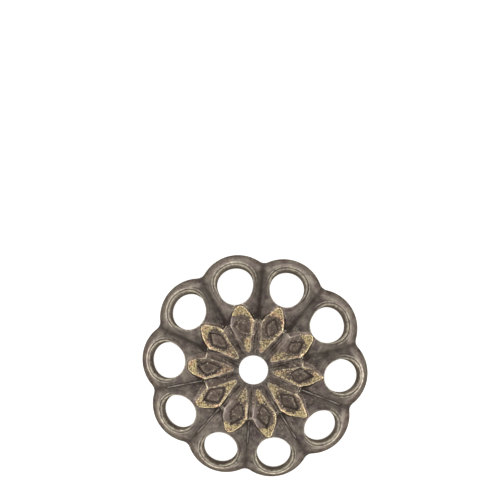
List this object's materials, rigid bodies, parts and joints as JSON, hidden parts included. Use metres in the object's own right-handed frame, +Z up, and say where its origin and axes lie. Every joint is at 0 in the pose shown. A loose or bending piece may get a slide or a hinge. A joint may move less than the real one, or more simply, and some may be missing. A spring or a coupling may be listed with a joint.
{
  "type": "bead cap",
  "caption": "Flower-shaped stamped bead cap: a shallow metal dome with a thread hole at its middle, raised petals, and a scalloped rim pierced by a ring of round holes.",
  "frame": {"origin": "centre of the rim's cut edge, on the surface that the cap rests on", "axes": "+Z up along the axis of the middle hole, out of the domed face; +X through the middle of one lobe"},
  "size_m": [0.015, 0.0146, 0.0026],
  "materials": {
    "antique_brass": "antiqued: dark warm grey, near black in the creases, rubbed to bright brass on the petals"
  },
  "bodies": {
    "root": {"cap": "antique_brass"}
  },
  "joints": []
}
